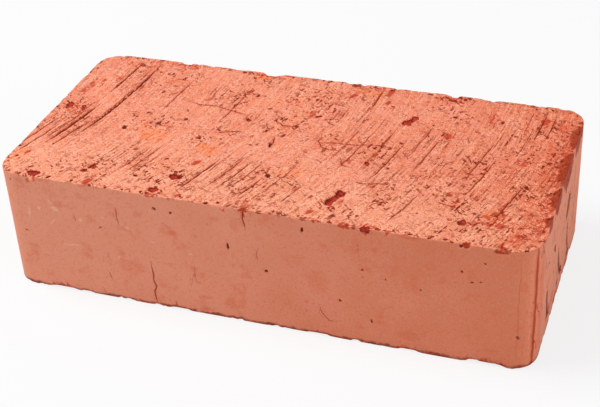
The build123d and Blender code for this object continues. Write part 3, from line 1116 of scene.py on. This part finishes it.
    def label(self, mesh: bpy.types.Mesh) -> None:
        """Writes what the finish has to know onto the finished mesh.

        Args:
            mesh: The mesh, which gets one attribute for each tone.
        """
        skin = self.skin(mesh)
        skin.press(self.pressed, WAVER, self.noise)
        ragged = 0.9 * self.noise.layered(skin.points, 2.6, 2)
        scored = ramp(skin.inset - np.minimum(skin.from_top, skin.from_floor) + ragged, -0.7, 0.7)
        chipped = np.zeros(len(skin.points))
        for bed in (Side.UPPER, Side.LOWER):
            near = self.edge_wear(skin, bed)
            depth = skin.from_top if bed is Side.UPPER else skin.from_floor
            close = (depth < near[1] + 0.4) & (skin.inset < near[0] + 0.4)
            chipped = np.maximum(chipped, np.where(close, near[2], 0.0))
        skin.tones[Tone.TORN] = np.maximum(skin.tones[Tone.TORN], 0.55 * chipped)
        fields = {tone.value: values for tone, values in skin.tones.items() if tone is not Tone.BARE}
        fields |= {"scored": scored, "aside": skin.aside, "ink": skin.ink}
        rim = 0.9 * ramp(skin.inset, 4.5, 1.0)
        crowd = np.maximum(rim, self.gathered(skin, self.marks.crowds()))
        fields |= {"crowd": crowd, "swept": self.gathered(skin, self.marks.swept())}
        for name, values in fields.items():
            layer = mesh.attributes.new(name, "FLOAT", "POINT")
            layer.data.foreach_set("value", values.astype(np.float32))

    def build(self) -> bpy.types.Object:
        """Makes the brick and tells the frame what it is.

        Returns:
            The finished piece.
        """
        fine = self.worked(self.blank(), "REMESH", mode="VOXEL", voxel_size=self.voxel * MM)
        self.weathered(fine)
        share = self.triangles / (2 * len(fine.polygons))
        mesh = self.worked(fine, "DECIMATE", ratio=min(1.0, share))
        mesh.name = "fired_brick"
        mesh.shade_smooth()
        mesh.set_sharp_from_angle(angle=math.radians(SHARP_ANGLE))
        self.label(mesh)
        mesh.materials.clear()
        mesh.materials.append(FiredClay().material())
        piece = bpy.data.objects.new("fired_brick", mesh)
        bpy.context.scene.collection.objects.link(piece)
        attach(piece, "root")
        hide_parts("brick")
        return piece


class Graph:
    """A short way to write a material's nodes."""

    def __init__(self, tree: bpy.types.NodeTree) -> None:
        """Starts from a tree with nothing in it."""
        self.tree = tree
        tree.nodes.clear()

    def node(self, kind: str, inputs: Inputs | None = None, **settings: object) -> bpy.types.Node:
        """Adds a node.

        Args:
            kind: The node's type.
            inputs: For each socket, a value or another node's output.
            settings: The node's own settings.

        Returns:
            The node.
        """
        made = self.tree.nodes.new(kind)
        for name, value in settings.items():
            setattr(made, name, value)
        for socket, value in (inputs or {}).items():
            if isinstance(value, Socket):
                self.tree.links.new(value, made.inputs[socket])
            else:
                made.inputs[socket].default_value = value
        return made

    def math(self, operation: str, *values: object, clamp: bool = False) -> Socket:
        """Does one sum on numbers or sockets."""
        inputs = dict(enumerate(values))
        return self.node("ShaderNodeMath", inputs, operation=operation, use_clamp=clamp).outputs[0]

    def times(self, *factors: object) -> Socket:
        """Multiplies two or more factors, from the first to the last."""
        return functools.reduce(lambda product, factor: self.math("MULTIPLY", product, factor), factors)

    def plus(self, first: object, second: object, clamp: bool = False) -> Socket:
        """Adds two values, and keeps the sum from 0 to 1 if it is clamped."""
        return self.math("ADD", first, second, clamp=clamp)

    def minus(self, value: object, taken: object) -> Socket:
        """Takes one value from another."""
        return self.math("SUBTRACT", value, taken)

    def scaled(self, value: object, factor: object, added: object) -> Socket:
        """Multiplies a value by a factor, and adds to it."""
        return self.math("MULTIPLY_ADD", value, factor, added)

    def most(self, first: object, second: object) -> Socket:
        """Takes the larger of two values."""
        return self.math("MAXIMUM", first, second)

    def apart(self, first: object, second: object) -> Socket:
        """Measures how far two values lie from each other."""
        return self.math("ABSOLUTE", self.minus(first, second))

    def mix(self, share: object, first: object, second: object) -> Socket:
        """Blends two colours."""
        inputs = {0: share, 6: first, 7: second}
        return self.node("ShaderNodeMix", inputs, data_type="RGBA").outputs[2]

    def coat(self, under: object, share: object, strength: float, shade: object) -> Socket:
        """Lays a colour over another, as much as the share and the strength say."""
        return self.mix(self.times(share, strength), under, shade)

    def band(self, value: object, low: object, high: object) -> Socket:
        """Rises smoothly from 0 at low to 1 at high."""
        inputs = {"Value": value, "From Min": low, "From Max": high}
        return self.node("ShaderNodeMapRange", inputs, interpolation_type="SMOOTHSTEP").outputs[0]

    def noise(self, place: object, size: float, detail: float) -> Socket:
        """Reads noise that changes over a size in millimetres."""
        inputs = {"Vector": place, "Scale": 1 / (size * MM), "Detail": detail}
        return self.node("ShaderNodeTexNoise", inputs, normalize=True).outputs["Fac"]

    def patches(self, place: object, size: float, detail: float, low: float, high: float) -> Socket:
        """Reads noise as patches, from 0 where it is low to 1 where it is high."""
        return self.band(self.noise(place, size, detail), low, high)

    def axes(self, place: object) -> bpy.types.bpy_prop_collection:
        """Parts a place into its three coordinates."""
        return self.node("ShaderNodeSeparateXYZ", {0: place}).outputs

    def stretched(self, place: object, factors: tuple[float, float, float]) -> Socket:
        """Multiplies a place by one factor for each axis."""
        return self.node("ShaderNodeVectorMath", {0: place, 1: factors}, operation="MULTIPLY").outputs[0]

    def attribute(self, name: str) -> Socket:
        """Reads one of the numbers that the mesh carries."""
        return self.node("ShaderNodeAttribute", attribute_name=name).outputs["Fac"]

    def seen(self) -> Socket:
        """Tells the rays that end at the camera from those that light a thing.

        Returns:
            1 for a ray that is seen straight, mirrored or through a thing, or else 0.
        """
        rays = self.node("ShaderNodeLightPath").outputs
        straight = self.plus(rays["Is Camera Ray"], rays["Is Glossy Ray"])
        return self.plus(straight, rays["Is Transmission Ray"], clamp=True)

    def blend(self, share: object, first: bpy.types.Node, second: bpy.types.Node, output: str) -> None:
        """Blends two shaders and ends the graph with them."""
        inputs = {0: share, 1: first.outputs[0], 2: second.outputs[0]}
        self.node(output, {"Surface": self.node("ShaderNodeMixShader", inputs).outputs[0]})


class ClayGraph(Graph):
    """The nodes of the clay: patterns over the brick, many of them placed by the mesh's numbers."""

    def __init__(self, tree: bpy.types.NodeTree) -> None:
        """Starts from the place on the brick and how much the wire tore it there."""
        super().__init__(tree)
        self.place = self.node("ShaderNodeTexCoord").outputs["Object"]
        self.scored = self.attribute("scored")

    def along_wire(self, drawn_out: float) -> Socket:
        """Straightens the wire's arcs, so that a pattern follows them.

        Args:
            drawn_out: How much longer than wide the pattern becomes.

        Returns:
            A place whose first axis is the same all along one arc, with a little
            waver, and whose second runs across the brick.
        """
        wire = WirePath()
        axes = self.axes(self.place)
        from_back = self.minus(wire.back * MM, axes["Y"])
        straight = self.scaled(self.times(from_back, from_back), 1 / (2 * wire.radius * MM), axes["X"])
        waver = self.times(self.noise(self.place, 5.0, 3.0), 1.1 * MM)
        across, height = self.times(axes["Y"], 1 / drawn_out), self.times(axes["Z"], 0.5)
        inputs = {"X": self.plus(straight, waver), "Y": across, "Z": height}
        return self.node("ShaderNodeCombineXYZ", inputs).outputs[0]

    def scratches(self, path: Socket, pitch: float, long: float, share: float, wide: float) -> Socket:
        """Draws separate scratches along the wire's path.

        Args:
            path: The place, with the wire's arcs straightened.
            pitch: The distance between two lanes, each with a scratch at a time.
            long: The longest scratch.
            share: How many of the places hold one, 0 to 1.
            wide: The widest scratch.

        Returns:
            How much of a scratch there is, 0 to 1.
        """
        axes = self.axes(path)
        across = self.times(axes["X"], 1 / (pitch * MM))
        lane = self.math("FLOOR", across)
        shift = self.node("ShaderNodeTexWhiteNoise", {"W": lane}, noise_dimensions="1D").outputs["Value"]
        run = self.scaled(axes["Y"], 1 / (long * MM), self.times(shift, 9.0))
        spot = self.node("ShaderNodeCombineXYZ", {"X": lane, "Y": self.math("FLOOR", run)}).outputs[0]
        chance = self.node("ShaderNodeTexWhiteNoise", {"Vector": spot}, noise_dimensions="2D")
        picks = self.node("ShaderNodeSeparateColor", {0: chance.outputs["Color"]}).outputs
        middle = self.scaled(picks[1], 0.5, 0.25)
        aside = self.apart(self.math("FRACT", across), middle)
        from_middle = self.apart(self.math("FRACT", run), 0.5)
        widest = self.scaled(picks[2], 0.35 * wide / pitch, 0.15 * wide / pitch)
        reach = self.times(self.band(from_middle, 0.5, 0.1), widest)
        line = self.band(aside, self.times(reach, 1.9), self.times(reach, 0.3))
        return self.times(line, self.math("LESS_THAN", picks[0], share))

    def grains(self, path: Socket, size: float, rarity: float) -> tuple[Socket, Socket]:
        """Spreads the ragged holes of grains that the wire tore out.

        Args:
            path: The place, as the pattern is drawn out over it.
            size: The distance between two grains.
            rarity: How few of them are large.

        Returns:
            How much of a hole there is, and a number for each hole, 0 to 1.
        """
        inputs = {"Vector": path, "Scale": 1 / (0.35 * size * MM), "Detail": 2.0}
        ragged = self.node("ShaderNodeTexNoise", inputs).outputs["Color"]
        inputs = {0: ragged, 1: (0.5 * size * MM,) * 3, 2: path}
        shifted = self.node("ShaderNodeVectorMath", inputs, operation="MULTIPLY_ADD").outputs[0]
        cells = self.node("ShaderNodeTexVoronoi", {"Vector": shifted, "Scale": 1 / (size * MM)}).outputs
        picks = self.node("ShaderNodeSeparateColor", {0: cells["Color"]}).outputs
        reach = self.times(self.math("POWER", picks[0], rarity), 0.42)
        return self.band(cells["Distance"], self.times(reach, 1.5), self.times(reach, 0.4)), picks[1]

    def holes(self, path: Socket, size: float, rarity: float) -> Socket:
        """Spreads the holes of grains, without the number for each."""
        return self.grains(path, size, rarity)[0]

    def hairs(self, place: Socket, size: float, thin: float) -> Socket:
        """Draws short drying cracks that wander every way.

        Args:
            place: The place on the brick, as the pattern is drawn out over it.
            size: The size of the pieces of clay that they part.
            thin: How narrow they are, as a share of the noise's range.

        Returns:
            How much of a crack there is, 0 to 1.
        """
        line = self.band(self.apart(self.noise(place, size, 3.0), 0.5), thin * 2.0, thin * 0.3)
        return self.times(line, self.patches(place, 0.55 * size, 1.0, 0.50, 0.56))

    def near_line(self, aside: Span, near: Span) -> Socket:
        """Grades the places beside the lines that the mesh knows the offset from.

        Args:
            aside: How many half widths away there is nothing, and from where there is all.
            near: The same for how near the line is, as the mesh grades it.

        Returns:
            How much of it there is, 0 to 1.
        """
        beside = self.band(self.math("ABSOLUTE", self.attribute("aside")), *aside)
        return self.times(beside, self.band(self.attribute("line"), *near), self.attribute("ink"))

    def chance_marks(self) -> dict[str, Socket]:
        """Spreads the chance marks of the wire over the beds.

        Returns:
            How much there is of each kind of mark, 0 to 1, and of the stain round them all.
        """
        path, torn_path = self.along_wire(1.0), self.along_wire(1.7)
        swept = self.scaled(self.attribute("swept"), 0.9, 0.1)
        swept = self.times(swept, self.patches(self.place, 8.0, 2.0, 0.30, 0.55), self.scored)
        broken = self.times(swept, self.patches(self.place, 1.3, 2.0, 0.38, 0.54))
        uneven = self.scaled(self.patches(self.place, 5.0, 2.0, 0.36, 0.58), 0.7, 0.3)
        crowded = self.times(self.scaled(self.attribute("crowd"), 0.72, 0.28), uneven, self.scored)
        turn = {"Vector": self.place, "Angle": 0.7}
        aslant = self.node("ShaderNodeVectorRotate", turn, rotation_type="Z_AXIS").outputs[0]
        middling, pick = self.grains(torn_path, 3.4, 4.0)
        red = self.math("GREATER_THAN", pick, 0.86)
        spread = {
            "long": (self.scratches(path, 3.2, 38.0, 0.45, 0.95), broken),
            "middle": (self.scratches(path, 2.1, 22.0, 0.60, 0.72), broken),
            "fine": (self.scratches(path, 0.85, 10.0, 0.35, 0.42), swept),
            "hairs": (self.hairs(self.place, 6.5, 0.020), crowded),
            "ticks": (self.holes(self.along_wire(0.42), 1.9, 2.0), crowded),
            "slants": (self.holes(self.stretched(aslant, (0.45, 1.3, 0.45)), 1.8, 2.2), crowded),
            "dashes": (self.holes(self.along_wire(3.6), 1.7, 2.6), crowded),
            "small": (self.holes(torn_path, 2.1, 1.9), crowded),
            "dark": (self.times(middling, self.minus(1.0, red)), crowded),
            "red": (self.times(middling, red), self.scored),
            "large": (self.holes(torn_path, 5.5, 14.0), self.scored),
        }
        known = self.most(self.attribute("shade"), self.attribute("burnt"))
        halo = self.most(self.near_line((3.0, 0.8), (0.1, 0.4)), self.band(known, 0.05, 0.4))
        kinds = {}
        for name, (mark, share) in spread.items():
            kinds[name] = self.times(self.band(mark, 0.45, 0.8), share)
            if name != "fine":
                halo = self.most(halo, self.times(mark, share))
        return kinds | {"halo": halo}

    def frayed(self, name: str, pattern: Socket, factor: float) -> Socket:
        """Adds a pattern to one of the mesh's numbers, which makes its outline ragged."""
        return self.scaled(self.minus(pattern, 0.5), factor, self.attribute(name))


@dataclass(frozen=True)
class FiredClay:
    """Salmon-red fired clay, torn and scored on the beds and satin on the sides."""

    body: Colour = colour(233, 139, 110)
    rosy: Colour = colour(237, 154, 130)
    sandy: Colour = colour(255, 194, 158)
    ruddy: Colour = colour(216, 104, 72)
    stained: Colour = colour(196, 78, 44)
    umber: Colour = colour(200, 90, 56)
    skin: Colour = colour(231, 150, 121)
    skin_right: Colour = colour(217, 125, 93)
    # Dark red-brown of the grooves and cracks, also laid along the foot of the sides as painted shade.
    groove_and_shade: Colour = colour(132, 34, 10)
    # Near-black red laid in holes and pits as their painted shade.
    hole_shade: Colour = colour(92, 22, 8)
    burnt: Colour = colour(184, 60, 44)
    rust: Colour = colour(150, 46, 20)
    flaked: Colour = colour(190, 56, 32)
    flame: Colour = colour(224, 92, 56)
    ochre: Colour = colour(240, 124, 62)
    pale: Colour = colour(246, 196, 174)
    bed_roughness: float = 0.95
    skin_roughness: float = 0.56
    shine: float = 0.08

    def material(self) -> bpy.types.Material:
        """Builds the finish.

        Returns:
            The material.
        """
        made = bpy.data.materials.new("fired_clay")
        made.use_nodes = True
        graph = ClayGraph(made.node_tree)
        marks = graph.chance_marks()
        clay = graph.mix(graph.scored, self.sides(graph), self.bed(graph))
        bed_share = graph.times(graph.scored, self.bed_roughness)
        skin_gloss = graph.scaled(graph.noise(graph.place, 5.0, 3.0), 0.2, self.skin_roughness)
        skin_share = graph.times(graph.minus(1.0, graph.scored), skin_gloss)
        inputs = {
            "Base Color": self.marked(graph, clay, marks),
            "Roughness": graph.plus(bed_share, skin_share, clamp=True),
            "Specular IOR Level": self.shine,
            "Normal": self.relief(graph, marks),
        }
        shader = graph.node("ShaderNodeBsdfPrincipled", inputs)
        graph.node("ShaderNodeOutputMaterial", {"Surface": shader.outputs[0]})
        return made

    def bed(self, graph: ClayGraph) -> Socket:
        """Mixes the colour of the torn beds.

        Args:
            graph: The material's nodes.

        Returns:
            The colour, before the marks.
        """
        place, axes = graph.place, graph.axes(graph.place)
        redder = graph.plus(graph.times(axes["X"], 3.0), graph.times(graph.noise(place, 24.0, 3.0), 0.9))
        flecked = graph.patches(place, 2.6, 3.0, 0.42, 0.62)
        at_right = graph.band(axes["X"], 90.0 * MM, 120.0 * MM)
        glow = graph.times(at_right, graph.patches(place, 7.0, 3.0, 0.42, 0.60))
        clay = graph.mix(graph.patches(place, 5.0, 3.0, 0.38, 0.64), self.body, self.rosy)
        clay = graph.coat(clay, graph.band(redder, 0.35, 0.95), 0.5, self.ruddy)
        clay = graph.coat(clay, graph.band(axes["Y"], -5.0 * MM, -50.0 * MM), 0.30, self.sandy)
        clay = graph.coat(clay, graph.times(graph.attribute("crowd"), flecked), 0.35, self.ruddy)
        clay = graph.coat(clay, glow, 0.60, self.flame)
        clay = graph.coat(clay, graph.times(at_right, flecked), 0.45, self.stained)
        streaks = graph.noise(graph.along_wire(22.0), 0.9, 3.0)
        grain, sand = graph.noise(place, 1.5, 3.0), graph.noise(place, 0.55, 1.0)
        calm = graph.scaled(graph.patches(place, 9.0, 3.0, 0.36, 0.58), 0.55, 0.45)
        layers = (
            (streaks, 0.52, 0.68, 0.45, self.sandy), (streaks, 0.47, 0.34, 0.60, self.ruddy),
            (grain, 0.54, 0.68, 0.45, self.sandy), (grain, 0.45, 0.34, 0.70, self.ruddy),
            (sand, 0.53, 0.66, 0.55, self.sandy), (sand, 0.44, 0.34, 0.85, self.umber),
        )
        for pattern, low, high, strength, shade in layers:
            clay = graph.mix(graph.times(graph.band(pattern, low, high), strength, calm), clay, shade)
        return clay

    def sides(self, graph: ClayGraph) -> Socket:
        """Mixes the colour of the smooth sides and ends, with painted shade along their foot.

        Args:
            graph: The material's nodes.

        Returns:
            The colour, before the marks.
        """
        place, axes = graph.place, graph.axes(graph.place)
        redder = graph.plus(graph.times(axes["X"], 3.2), graph.times(graph.noise(place, 22.0, 3.0), 0.5))
        at_end = graph.band(axes["X"], 119.0 * MM, 124.0 * MM)
        smears = graph.scaled(graph.patches(place, 7.0, 3.0, 0.55, 0.75), 0.42, graph.attribute("scuff"))
        grain = graph.noise(place, 1.0, 3.0)
        # Painted shade along the foot of the sides: a ragged band in the groove colour, about 3 mm high,
        # stands in for the shadow under the lower arris.
        ragged = graph.scaled(graph.noise(place, 3.0, 3.0), 3.2 * MM, axes["Z"])
        fissures = graph.times(graph.hairs(graph.stretched(place, (1.0, 1.0, 0.35)), 6.0, 0.012), at_end)
        clay = graph.mix(graph.band(redder, -0.10, 0.75), self.skin, self.skin_right)
        clay = graph.coat(clay, at_end, 0.65, self.skin)
        clay = graph.mix(smears, clay, self.ruddy)
        clay = graph.coat(clay, graph.band(grain, 0.47, 0.28), 0.50, self.ruddy)
        clay = graph.coat(clay, graph.band(grain, 0.54, 0.74), 0.10, self.pale)
        clay = graph.coat(clay, fissures, 0.7, self.groove_and_shade)
        # Lays the painted shade along the foot, darkest at the bottom.
        return graph.coat(clay, graph.band(ragged, 4.0 * MM, 2.6 * MM), 0.85, self.groove_and_shade)

    def marked(self, graph: ClayGraph, clay: Socket, marks: dict[str, Socket]) -> Socket:
        """Puts every mark on the colour of the clay.

        Args:
            graph: The material's nodes.
            clay: The colour without marks.
            marks: How much there is of each kind of chance mark.

        Returns:
            The colour.
        """
        place = graph.place
        ragged = graph.noise(place, 1.2, 3.0)
        burnt, shade = graph.frayed("burnt", ragged, 0.7), graph.frayed("shade", ragged, 0.6)
        faded = graph.math("POWER", graph.attribute("ochre"), 1.7)
        soft = graph.times(faded, graph.patches(graph.along_wire(2.0), 2.0, 3.0, 0.30, 0.64))
        torn = graph.frayed("torn", graph.noise(graph.along_wire(1.6), 1.7, 4.0), 2.6)
        torn = graph.times(graph.band(torn, 0.28, 0.80), graph.band(graph.attribute("torn"), 0.0, 0.25))
        rusty = graph.frayed("rust", graph.noise(place, 2.2, 3.0), 1.2)
        rusty = graph.times(graph.band(rusty, 0.15, 0.70), graph.band(graph.attribute("rust"), 0.0, 0.2))
        # Painted shade in the burnt pits: a dark rim round each and dark patches inside it, in the hole
        # colour, stand in for the shade on the pit walls.
        rim = graph.times(graph.band(burnt, 0.24, 0.38), graph.band(burnt, 0.78, 0.5))
        pit_shade = graph.times(graph.band(burnt, 0.45, 0.7), graph.patches(place, 1.6, 2.0, 0.48, 0.60))
        halo = graph.times(marks["halo"], graph.scaled(graph.scored, 0.75, 0.25))
        layers = (
            (soft, 0.80, self.ochre), (graph.attribute("pale"), 0.75, self.pale),
            (torn, 0.80, self.flaked), (rusty, 0.85, self.rust), (halo, 0.70, self.stained),
            (marks["fine"], 0.50, self.stained), (marks["hairs"], 0.90, self.groove_and_shade),
            (marks["ticks"], 0.90, self.groove_and_shade), (marks["slants"], 0.90, self.groove_and_shade),
            (marks["middle"], 0.75, self.groove_and_shade), (marks["long"], 0.85, self.groove_and_shade),
            (marks["dashes"], 0.90, self.groove_and_shade), (marks["red"], 0.80, self.burnt),
            (marks["large"], 0.70, self.flaked), (marks["small"], 0.90, self.groove_and_shade),
            (marks["dark"], 0.85, self.hole_shade), (graph.band(burnt, 0.30, 0.42), 0.92, self.burnt),
            # The painted shade of the burnt pits, then the dark of the shaded pits.
            (graph.most(rim, pit_shade), 0.70, self.hole_shade), (graph.band(shade, 0.32, 0.60), 0.75, self.hole_shade),
            (graph.near_line((1.3, 0.5), (0.2, 0.5)), 1.0, self.groove_and_shade),
        )
        for share, strength, tint in layers:
            clay = graph.coat(clay, share, strength, tint)
        return clay

    def relief(self, graph: ClayGraph, marks: dict[str, Socket]) -> Socket:
        """Adds the relief that is too fine for the mesh.

        Args:
            graph: The material's nodes.
            marks: How much there is of each kind of chance mark.

        Returns:
            The direction that the surface faces.
        """
        sand = graph.times(graph.noise(graph.place, 0.9, 3.0), 1.1)
        streaks = graph.times(graph.noise(graph.along_wire(18.0), 1.0, 3.0), 0.9)
        height = graph.times(graph.plus(sand, streaks), graph.scaled(graph.scored, 0.9, 0.07))
        depths = {"fine": 0.3, "middle": 0.6, "long": 1.0, "small": 0.6, "dark": 1.0, "red": 0.8}
        depths |= {"dashes": 0.8, "ticks": 0.7, "slants": 0.7, "hairs": 0.6}
        for name, depth in depths.items():
            height = graph.minus(height, graph.times(marks[name], depth))
        inputs = {"Strength": 0.9, "Distance": 0.35 * MM, "Height": height}
        return graph.node("ShaderNodeBump", inputs).outputs[0]


@dataclass(frozen=True)
class Lamp:
    """A square soft lamp that faces the brick: its name, place, power in watts and side in metres."""

    name: str
    place: tuple[float, float, float]
    power: float
    size: float

    def hang(self) -> None:
        """Hangs the lamp in the scene."""
        light = bpy.data.lights.new(self.name, "AREA")
        light.energy = self.power
        light.size = self.size
        lamp = bpy.data.objects.new(self.name, light)
        lamp.location = self.place
        lamp.rotation_euler = Vector(self.place).to_track_quat("Z", "Y").to_euler()
        bpy.context.scene.collection.objects.link(lamp)


@dataclass
class Studio:
    """A plain pale floor, soft light and the camera."""

    floor_size: float = 8.0
    floor_white: float = 0.8
    soft_light: float = 0.42
    azimuth: float = 20.796
    elevation: float = 33.708
    roll: float = -3.223
    aim: tuple[float, float, float] = (-13.506, 37.724, 0.0)
    distance: float = 677.747
    focal_pixels: float = 1321.648
    image_width: int = 600
    sensor: float = 36.0
    lamps: tuple[Lamp, ...] = (
        Lamp("key", (-0.9, -0.15, 1.6), 26.0, 0.9),
        Lamp("fill", (1.5, -0.6, 0.8), 8.5, 1.0),
    )

    def floor(self) -> None:
        """Lays the floor, which isn't part of the brick."""
        sheet = bmesh.new()
        bmesh.ops.create_grid(sheet, x_segments=1, y_segments=1, size=self.floor_size / 2)
        mesh = bpy.data.meshes.new("floor")
        sheet.to_mesh(mesh)
        sheet.free()
        mesh.materials.append(self.floor_finish())
        floor = bpy.data.objects.new("floor", mesh)
        bpy.context.scene.collection.objects.link(floor)

    def floor_finish(self) -> bpy.types.Material:
        """Makes matt white card, which looks white and still shows a shadow.

        Returns:
            The material.
        """
        made = bpy.data.materials.new("white_card")
        made.use_nodes = True
        graph = Graph(made.node_tree)
        card = graph.node("ShaderNodeBsdfDiffuse", {"Color": CARD})
        white = graph.node("ShaderNodeEmission", {"Color": WHITE, "Strength": 1.0})
        graph.blend(graph.times(graph.seen(), self.floor_white), card, white, "ShaderNodeOutputMaterial")
        return made

    def world(self) -> None:
        """Lights the brick softly from all round, before a white background."""
        world = bpy.data.worlds.new("studio")
        world.use_nodes = True
        bpy.context.scene.world = world
        graph = Graph(world.node_tree)
        soft = graph.node("ShaderNodeBackground", {"Color": WHITE, "Strength": self.soft_light})
        white = graph.node("ShaderNodeBackground", {"Color": WHITE, "Strength": 1.0})
        graph.blend(graph.seen(), soft, white, "ShaderNodeOutputWorld")

    def camera(self) -> None:
        """Sets up the camera at the photograph's viewing angle."""
        round_by, up_by, tilt = (math.radians(v) for v in (self.azimuth, self.elevation, self.roll))
        level = Vector((math.cos(round_by), math.sin(round_by), 0.0))
        outwards = math.cos(up_by)
        back = Vector((math.sin(round_by) * outwards, -math.cos(round_by) * outwards, math.sin(up_by)))
        upright = back.cross(level)
        right = math.cos(tilt) * level + math.sin(tilt) * upright
        top = math.cos(tilt) * upright - math.sin(tilt) * level
        lens = bpy.data.cameras.new("camera")
        lens.sensor_fit = "HORIZONTAL"
        lens.sensor_width = self.sensor
        lens.lens = self.focal_pixels * self.sensor / self.image_width
        lens.clip_start = 0.01
        lens.clip_end = 100.0
        camera = bpy.data.objects.new("camera", lens)
        turn = Matrix((right, top, back)).transposed().to_4x4()
        camera.matrix_world = Matrix.Translation((Vector(self.aim) + back * self.distance) * MM) @ turn
        bpy.context.scene.collection.objects.link(camera)
        bpy.context.scene.camera = camera

    def build(self) -> None:
        """Sets up the floor, the lights and the camera."""
        self.floor()
        self.world()
        for lamp in self.lamps:
            lamp.hang()
        self.camera()
        bpy.context.scene.view_settings.view_transform = "Standard"


def main() -> None:
    """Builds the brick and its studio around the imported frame."""
    logging.basicConfig(level=logging.INFO, format="%(name)s: %(message)s")
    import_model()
    low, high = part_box("brick")
    piece = FiredBrick(Block(*((high - low) / MM))).build()
    log.info("%s: %d points, %d faces", piece.name, len(piece.data.vertices), len(piece.data.polygons))
    Studio().build()
    log.info("studio: floor, lamps and camera")


if __name__ == "__main__":
    main()
